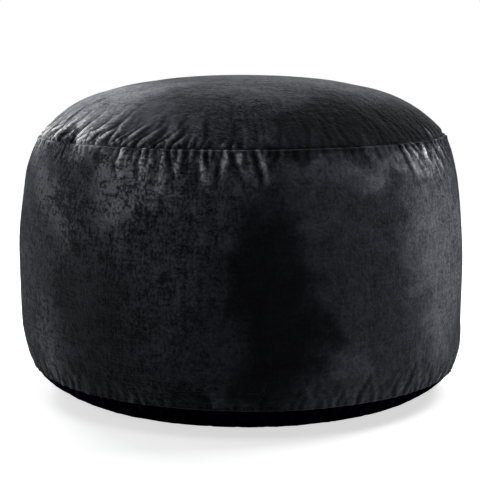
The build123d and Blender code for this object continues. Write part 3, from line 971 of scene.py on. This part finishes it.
def label_sheet():
    """The blank care label: it hangs from the seam inside the cover, in soft waves."""
    node, turn = unrolled(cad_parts["care_label"].data)
    middle = np.arctan2(np.sin(turn).mean(), np.cos(turn).mean())
    radius = node[:, 0].max()
    across = np.linspace(-LABEL_WIDTH / 2, LABEL_WIDTH / 2, 26)[None, :]
    down = np.linspace(LABEL_START, LABEL_START + LABEL_LENGTH, 41)[:, None]
    along = cover_line.base_end + down + 0 * across
    free = smoothstep(LABEL_START, 20 * MM, down)
    wave = LABEL_WAVE * np.sin(across / (4.2 * MM) + down / (14 * MM)) * free
    section = cover_line.place(along) - cover_line.out(along) * (LABEL_DEPTH - wave)[..., None]
    grid = solid_points(section, middle + across / radius)
    return new_piece("blank_label", grid, grid_faces(*grid.shape[:2]))


def foam(bag):
    """The filling: a closed lumpy mass that the bag holds."""
    rings = []
    starts = rng.uniform(0, 2 * pi, (LUMPS, 2))
    turns = rng.integers(4, 44, LUMPS)
    waves = rng.uniform(20, 160, LUMPS)
    least, most = FOAM_DEPTHS
    for row in range(0, len(bag.along), FOAM_ROW_STEP):
        along = bag.along[row]
        lumps = np.zeros(bag.columns)
        for k in range(LUMPS):
            lumps += np.cos(turns[k] * bag.angle + starts[k, 0]) * np.cos(waves[k] * along + starts[k, 1])
        depth = least + LUMP_HEIGHT * np.abs(lumps)
        inward = -solid_points(bag_line.out(along) + 0 * bag.angle[:, None], bag.angle)
        ring = bag.points[row] + inward * np.minimum(depth, most)[:, None]
        rings.append(ring[:: bag.columns // max(FEWEST_COLUMNS, len(bag.ring(row)))])
    return ring_piece("foam_filling", rings, closed_start=True, closed_end=True)


# ---- materials

class Material:
    """A node material with one Principled shader."""

    def __init__(self, name, **values):
        self.made = bpy.data.materials.new(name)
        self.made.use_nodes = True
        self.tree = self.made.node_tree
        self.shader = self.tree.nodes["Principled BSDF"]
        for socket, value in values.items():
            self.shader.inputs[socket.replace("_", " ")].default_value = value
        self.place = self.node("ShaderNodeTexCoord").outputs["Object"]

    def node(self, kind, inputs=None, **settings):
        """A new node. An input is a value, or the output of another node."""
        made = self.tree.nodes.new(kind)
        for key, value in settings.items():
            setattr(made, key, value)
        for key, value in (inputs or {}).items():
            if isinstance(value, bpy.types.NodeSocket):
                self.tree.links.new(value, made.inputs[key])
            else:
                made.inputs[key].default_value = value
        return made

    def link(self, output, socket):
        self.tree.links.new(output, self.shader.inputs[socket])

    def stretched(self, scale, turn=(0, 0, 0)):
        """The place on the object, scaled and turned."""
        values = {"Vector": self.place, "Scale": scale, "Rotation": turn}
        return self.node("ShaderNodeMapping", values).outputs[0]

    def noise(self, scale, detail=3.0, roughness=0.55, distortion=0.0, vector=None):
        values = {"Scale": scale, "Detail": detail, "Roughness": roughness, "Distortion": distortion}
        values["Vector"] = vector or self.place
        return self.node("ShaderNodeTexNoise", values).outputs["Fac"]

    def ramp(self, value, *stops):
        """Colours or greys at positions, as (position, colour)."""
        made = self.node("ShaderNodeValToRGB", {"Fac": value})
        elements = made.color_ramp.elements
        while len(elements) < len(stops):
            elements.new(0.5)
        for element, (position, colour) in zip(elements, stops):
            element.position = position
            element.color = (*colour, 1) if hasattr(colour, "__len__") else (colour, colour, colour, 1)
        return made.outputs["Color"]

    def maths(self, operation, *values):
        return self.node("ShaderNodeMath", dict(enumerate(values)), operation=operation).outputs[0]

    def vector(self, operation, *values, output="Vector"):
        made = self.node("ShaderNodeVectorMath", dict(enumerate(values)), operation=operation)
        return made.outputs[output]

    def bump(self, height, distance, strength=1.0, under=None):
        values = {"Height": height, "Distance": distance, "Strength": strength}
        if under is not None:
            values["Normal"] = under
        return self.node("ShaderNodeBump", values).outputs[0]

    def zoned(self, zones):
        """How far ragged zones change the pile, in stops."""
        noise = {"Vector": self.place, "Scale": 11.0, "Detail": 5.0, "Roughness": 0.65}
        ragged = self.node("ShaderNodeTexNoise", noise).outputs["Color"]
        ragged = self.vector("SCALE", self.vector("SUBTRACT", ragged, (0.5, 0.5, 0.5)))
        ragged.node.inputs["Scale"].default_value = ZONE_RAGGEDNESS
        place = self.vector("ADD", self.place, ragged)
        stops = None
        for centre, reach, strength in zones:
            away = self.vector("SUBTRACT", place, centre)
            away = self.vector("DIVIDE", away, reach)
            away = self.vector("LENGTH", away, output="Value")
            limits = {"Value": away, "From Min": 1.1, "From Max": 0.4, "To Max": strength}
            zone = self.node("ShaderNodeMapRange", limits, interpolation_type="SMOOTHSTEP").outputs[0]
            stops = zone if stops is None else self.maths("ADD", stops, zone)
        return stops


def velvet(name, dark, light, sheen, tint, shine=0.1, zones=PAINTED_LIGHT_AND_PILE_TONE):
    """Crushed pile: ragged patches that lie different ways, a hatch from the ground weave, and fine grain.
    Its colour also carries painted light and shade, in zones, on ridges and in creases, and beside the seams.
    """
    m = Material(name, Roughness=0.85, Specular_IOR_Level=shine)
    for socket, value in (("Weight", sheen), ("Roughness", 0.32), ("Tint", (*tint, 1))):
        m.shader.inputs["Sheen " + socket].default_value = value
    patches = m.noise(8.0, 3.0, 0.6, 1.0)
    crushed = m.noise(60.0, 6.0, 0.7, 0.8)
    speckle = m.noise(300.0, 3.0, 0.7, 0.3)
    grain = m.noise(1500.0, 2.0, 0.7)
    level = m.noise(130.0, 3.0, 0.6, vector=m.stretched((0.22, 0.22, 2.2)))
    upright = m.noise(150.0, 3.0, 0.6, vector=m.stretched((2.0, 2.0, 0.2)))
    hatch = m.maths("MULTIPLY", m.maths("ADD", level, upright), 0.5)
    contrast = m.maths("POWER", 2.0, m.zoned(CRUSHED))
    mixed = m.maths("MULTIPLY_ADD", crushed, 0.33, m.maths("MULTIPLY", patches, 0.17))
    mixed = m.maths("MULTIPLY_ADD", hatch, 0.28, m.maths("MULTIPLY_ADD", speckle, 0.42, mixed))
    mixed = m.maths("MULTIPLY_ADD", m.maths("SUBTRACT", mixed, MIDDLE_GREY), contrast, MIDDLE_GREY)
    # Painted light in stops: highlights on ridges and beside seams, shade in creases, and the zones' painted
    # light and shade together with the pile's own tone.
    wear_and_painted_light = m.node("ShaderNodeAttribute", attribute_name="painted_relief_light").outputs["Fac"]
    stops = m.maths("MULTIPLY_ADD", wear_and_painted_light, RELIEF_LIGHT_STOPS, m.zoned(zones))
    shares = [m.maths("POWER", 2.0, m.maths("MULTIPLY", stops, share)) for share in BLUER_IN_SHADE]
    shares = m.node("ShaderNodeCombineXYZ", dict(enumerate(shares))).outputs[0]
    colour = m.vector("MULTIPLY", m.ramp(mixed, (0.52, dark), (0.68, light)), shares)
    m.link(colour, "Base Color")
    slope = m.bump(patches, 14 * MM, 0.5)
    for height, distance in ((crushed, 6.0 * MM), (hatch, 3.0 * MM), (speckle, 2.6 * MM)):
        slope = m.bump(m.maths("MULTIPLY", height, contrast), distance, 0.8, under=slope)
    slope = m.bump(grain, 0.2 * MM, 0.6, under=slope)
    m.link(slope, "Normal")
    return m.made


def woven(name, dark, light, threads_per_metre, roughness=0.8, sheen=0.2, slubs=0.5):
    """Plain weave: two crossing sets of threads with uneven thickness."""
    m = Material(name, Roughness=roughness, Sheen_Weight=sheen, Sheen_Roughness=0.5)
    weave = []
    for turn in ((0, 0, 0), (0, 0, pi / 2)):
        values = {"Vector": m.stretched((1, 1, 1), turn), "Scale": threads_per_metre / 2}
        values |= {"Distortion": 1.2, "Detail": 2.0}
        weave.append(m.node("ShaderNodeTexWave", values, bands_direction="DIAGONAL").outputs["Fac"])
    crossed = m.maths("MULTIPLY", *weave)
    uneven = m.noise(160.0, 4.0, 0.6)
    mixed = m.maths("MULTIPLY_ADD", uneven, slubs, m.maths("MULTIPLY", crossed, 0.5))
    m.link(m.ramp(mixed, (0.2, dark), (0.75, light)), "Base Color")
    slope = m.bump(crossed, 0.2 * MM, 0.7)
    m.link(m.bump(uneven, 0.3 * MM, 0.4, under=slope), "Normal")
    return m.made


def fibre(name, dark, light, roughness=0.55, twist=900.0):
    """Twisted thread."""
    m = Material(name, Roughness=roughness, Sheen_Weight=0.25, Sheen_Roughness=0.4)
    ply = m.noise(twist, 3.0, 0.6, 0.8, vector=m.stretched((1, 1, 2.4), (0.5, 0.3, 0.7)))
    m.link(m.ramp(ply, (0.35, dark), (0.7, light)), "Base Color")
    m.link(m.bump(ply, 0.12 * MM, 0.7), "Normal")
    return m.made


def nylon(name, dark, light):
    """Drawn nylon, a little scuffed."""
    m = Material(name, Roughness=0.42)
    scuffs = m.noise(420.0, 4.0, 0.65)
    m.link(m.ramp(scuffs, (0.35, dark), (0.75, light)), "Base Color")
    m.link(m.ramp(scuffs, (0.3, 0.32), (0.8, 0.55)), "Roughness")
    m.link(m.bump(scuffs, 0.03 * MM, 0.5), "Normal")
    return m.made


def enamelled(name, paint, bare):
    """Black enamel on zinc, chipped in small spots."""
    m = Material(name, Roughness=0.3)
    chips = m.noise(700.0, 4.0, 0.7)
    wear_and_painted_light = m.ramp(chips, (0.66, 0.0), (0.72, 1.0))
    mix = m.node("ShaderNodeMix", {"Factor": wear_and_painted_light}, data_type="RGBA")
    mix.inputs["A"].default_value = (*paint, 1)
    mix.inputs["B"].default_value = (*bare, 1)
    m.link(mix.outputs["Result"], "Base Color")
    m.link(wear_and_painted_light, "Metallic")
    m.link(m.ramp(m.noise(160.0, 3.0), (0.3, 0.24), (0.8, 0.42)), "Roughness")
    m.link(m.bump(chips, 0.02 * MM, 0.35), "Normal")
    return m.made


def crumb(name):
    """Pale foam crumb and fibre."""
    m = Material(name, Roughness=0.95, Sheen_Weight=0.2)
    cells = m.node("ShaderNodeTexVoronoi", {"Vector": m.place, "Scale": 85.0}).outputs["Distance"]
    m.link(m.ramp(cells, (0.1, (0.86, 0.84, 0.78)), (0.7, (0.62, 0.60, 0.55))), "Base Color")
    m.link(m.bump(cells, 4 * MM, 0.6), "Normal")
    return m.made


# ---- studio

def pale_floor():
    """A pale floor. For the camera it glows, so that it is as white as the backdrop."""
    half = FLOOR_HALF
    corners = [(-half, -half, 0), (half, -half, 0), (half, half, 0), (-half, half, 0)]
    floor = mesh_object("floor", corners, [(0, 1, 2, 3)])
    pale = Material("pale_floor", Roughness=0.9)
    pale.link(pale.ramp(pale.noise(3.0, 2.0), (0.3, 0.86), (0.7, 0.90)), "Base Color")
    seen = pale.node("ShaderNodeLightPath").outputs["Is Camera Ray"]
    far = pale.vector("LENGTH", pale.place, output="Value")
    glow = pale.node("ShaderNodeMapRange", {"Value": far, **FLOOR_GLOW}).outputs[0]
    pale.link(pale.maths("MULTIPLY", seen, glow), "Emission Strength")
    pale.shader.inputs["Emission Color"].default_value = WHITE
    floor.data.materials.append(pale.made)


def backdrop():
    """White to the camera, and faint daylight to everything else."""
    world = bpy.data.worlds.new("studio")
    bpy.context.scene.world = world
    world.use_nodes = True
    tree = world.node_tree
    daylight = tree.nodes["Background"]
    daylight.inputs["Color"].default_value = DAYLIGHT
    daylight.inputs["Strength"].default_value = DAYLIGHT_STRENGTH
    seen = tree.nodes.new("ShaderNodeBackground")
    seen.inputs["Color"].default_value = WHITE
    mix = tree.nodes.new("ShaderNodeMixShader")
    path = tree.nodes.new("ShaderNodeLightPath")
    tree.links.new(path.outputs["Is Camera Ray"], mix.inputs["Fac"])
    tree.links.new(daylight.outputs[0], mix.inputs[1])
    tree.links.new(seen.outputs[0], mix.inputs[2])
    tree.links.new(mix.outputs[0], tree.nodes["World Output"].inputs["Surface"])
    bpy.context.scene.view_settings.view_transform = "Standard"


def softbox(name, angle, lift, watts):
    """A square light that faces the middle of the cushion."""
    light = bpy.data.lights.new(name, "AREA")
    light.shape = "SQUARE"
    light.size = BOX_WIDTH
    light.energy = watts
    made = added(name, light)
    flat, turn = np.cos(radians(lift)), radians(angle)
    way = Vector((flat * np.sin(turn), -flat * np.cos(turn), np.sin(radians(lift))))
    made.location = MIDDLE + way * BOX_DISTANCE
    made.rotation_euler = way.to_track_quat("Z", "Y").to_euler()


def camera():
    lens = bpy.data.cameras.new("camera")
    lens.lens, lens.sensor_width, lens.shift_x = LENS, SENSOR, SHIFT
    made = added("camera", lens)
    made.location = CAMERA_PLACE
    made.rotation_euler = (pi / 2 - CAMERA_TILT, 0, 0)
    bpy.context.scene.camera = made


# ---- pieces

def dressed(piece, material, node):
    """Gives a piece its material, and hides the CAD node that it stands for."""
    piece.data.materials.append(material)
    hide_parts(node)
    return piece


def recolour(names, material):
    """Gives CAD nodes that stay in view their finished material."""
    for name in names:
        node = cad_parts[name]
        for slot in node.material_slots:
            slot.material = material
        if not node.material_slots:
            node.data.materials.append(material)


pale_floor()
backdrop()
for box in SOFTBOXES:
    softbox(*box)
camera()

charcoal = velvet("charcoal_velvet", (0.0065, 0.0077, 0.0125), (0.082, 0.087, 0.105), 0.2, (0.93, 0.95, 1.0))
# The base cloth is black, and its near-black is partly painted shade: darker still, so the underside stays as
# dark as the shade under the cushion.
underside = velvet(
    "base_cloth", (0.0007, 0.0006, 0.0022), (0.002, 0.0016, 0.006), 0.001, (0.5, 0.55, 0.8), 0.0, CRUSHED[:1]
)
black_thread = fibre("black_thread", (0.006, 0.006, 0.007), (0.035, 0.036, 0.04))
bag_thread = fibre("natural_thread", (0.5, 0.47, 0.4), (0.75, 0.72, 0.65))
linen = woven("bag_linen", (0.42, 0.39, 0.33), (0.72, 0.69, 0.61), 900)
ribbon = woven("zip_ribbon", (0.004, 0.004, 0.005), (0.022, 0.023, 0.026), 1600, sheen=0.1)
satin = woven("label_satin", (0.62, 0.61, 0.58), (0.88, 0.87, 0.84), 2600, roughness=0.45, slubs=0.2)
nylon_black = nylon("black_nylon", (0.005, 0.005, 0.006), (0.02, 0.02, 0.022))
enamel = enamelled("black_enamel", (0.012, 0.012, 0.014), (0.55, 0.54, 0.52))
foam_look = crumb("foam_crumb")

cover = cover_cloth()
bag = bag_cloth()

top = dressed(cover.disc("velvet_top", "top"), charcoal, "top_panel")
base = dressed(cover.disc("cloth_base", "base"), underside, "base_panel")
front = dressed(cover.half_band("velvet_band_front", True), charcoal, "side_band_front")
rear = dressed(cover.half_band("velvet_band_rear", False), charcoal, "side_band_rear")
for piece, panel in ((top, "top"), (base, "base"), (front, "band"), (rear, "band")):
    cover.painted_relief_light(piece, panel, cover.relief)
    thicken(piece, VELVET)

bag_top = dressed(bag.disc("bag_top", "top"), linen, "liner_top")
bag_base = dressed(bag.disc("bag_base", "base"), linen, "liner_base")
bag_band = dressed(bag.whole_band("bag_band"), linen, "liner_band")
for piece in (bag_top, bag_base, bag_band):
    thicken(piece, LINEN)

filling = dressed(foam(bag), foam_look, "filling")

open_half = ZIP_HALF_ANGLE + ZIP_END
for name, tubes, material, slot, node in (
    ("top_seam_stitches", round_seam(cover, "top", VELVET), black_thread, "thread", "top_seam_thread"),
    (
        "base_seam_stitches", round_seam(cover, "base", VELVET, open_half - pi, pi - open_half),
        black_thread, "thread", "base_seam_thread",
    ),
    ("side_seam_stitches", side_seams(cover), black_thread, "thread", "side_seam_threads"),
    ("zip_topstitches", topstitches(), black_thread, "thread", "zip_stitching"),
    ("zip_coil_upper", [coil(1)], nylon_black, "zip_coil", "zip_teeth_upper"),
    ("zip_coil_lower", [coil(-1)], nylon_black, "zip_coil", "zip_teeth_lower"),
    (
        "bag_stitches", round_seam(bag, "top", LINEN) + round_seam(bag, "base", LINEN),
        bag_thread, "thread", "liner_seam_threads",
    ),
):
    dressed(new_piece(name, *joined(tubes)), material, node)

label = dressed(label_sheet(), satin, "care_label")
thicken(label, SATIN, offset=0)
recolour(TAPE_NODES, ribbon)
recolour(METAL_NODES, enamel)

cover.stretch("top") + POLE_RADIUS
cover.stretch("base") + POLE_RADIUS
cover.stretch("band")
cover.stretch("band")
bag.stretch("top") + POLE_RADIUS
bag.stretch("base") + POLE_RADIUS
bag.stretch("band")
